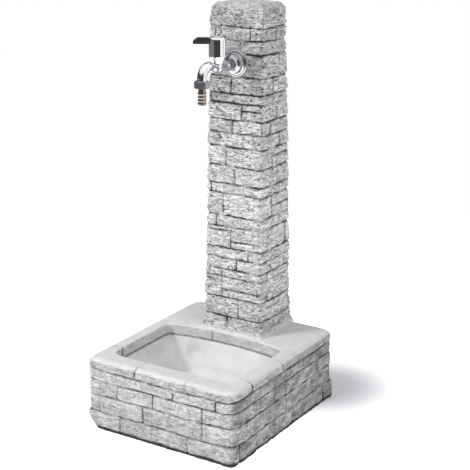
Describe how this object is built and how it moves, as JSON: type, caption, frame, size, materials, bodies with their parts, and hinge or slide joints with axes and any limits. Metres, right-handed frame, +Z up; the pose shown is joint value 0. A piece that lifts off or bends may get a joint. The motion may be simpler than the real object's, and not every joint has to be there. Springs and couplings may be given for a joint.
{
  "type": "garden water post with basin",
  "caption": "Cast stone water post: a square basin block and a tapered coursed column with a quarter-turn lever tap and hose tail over the bowl.",
  "frame": {"origin": "centre of the basin block's underside, on the ground", "axes": "+Z up along the column, -Y to the front where the tap points, +X to the right"},
  "size_m": [0.42, 0.48, 1],
  "materials": {
    "basin_stone": "cast, rock-faced, weathered",
    "column_stone": "cast, rock-faced, weathered",
    "mortar": "pointed mortar",
    "steel": "bright stainless",
    "cover_sheet": "stone-grey powder coat",
    "nylon": "moulded nylon",
    "rubber_black": "matt",
    "raw_brass": "machined",
    "copper": "drawn copper tube",
    "valve_ceramic": "lapped",
    "tap_chrome": "polished chrome plate",
    "lever_plastic": "black, fine grain",
    "nut_nickel": "satin nickel",
    "tail_nickel": "nickel over brass"
  },
  "bodies": {
    "post": {"base_block": "basin_stone", "column": "column_stone", "mortar_joint": "mortar", "dowel_pins": "steel", "service_cover": "cover_sheet", "cover_screws": "steel", "cover_plugs": "nylon", "waste_body": "steel", "waste_gasket": "rubber_black", "waste_washer": "rubber_black", "waste_locknut": "raw_brass", "feed_connector": "raw_brass", "riser_pipe": "copper", "pipe_clips": "nylon", "clip_screws": "steel", "clip_plugs": "nylon", "wall_elbow": "raw_brass", "elbow_screws": "steel", "elbow_plugs": "nylon", "compression_nut": "raw_brass", "compression_olive": "raw_brass", "extension_nipple": "raw_brass", "flange_gasket": "rubber_black", "escutcheon": "tap_chrome", "tap_body": "tap_chrome", "headwork": "raw_brass", "headwork_oring": "rubber_black", "seat_seal": "rubber_black", "fixed_disc": "valve_ceramic", "spindle_orings": "rubber_black", "union_washer": "rubber_black", "hose_tail": "tail_nickel"},
    "handle": {"handle_hub": "tap_chrome", "lever": "lever_plastic", "handle_screw": "steel", "index_cap": "tap_chrome", "spindle": "raw_brass", "spindle_clip": "steel", "moving_disc": "valve_ceramic"},
    "nut": {"union_nut": "nut_nickel"},
    "strainer": {"drain_strainer": "steel"}
  },
  "joints": [
    {"name": "handle_turn", "type": "hinge", "parent": "post", "child": "handle", "pos_m": [0, 0.026, 0.861], "axis": [0, 0, 1], "range_deg": [-30, 60]},
    {"name": "nut_spin", "type": "hinge", "parent": "post", "child": "nut", "pos_m": [0, -0.04, 0.861], "axis": [0, 0, 1], "continuous": true},
    {"name": "strainer_lift", "type": "slide", "parent": "post", "child": "strainer", "axis": [0, 0, 1], "range_m": [0, 0.04]}
  ]
}
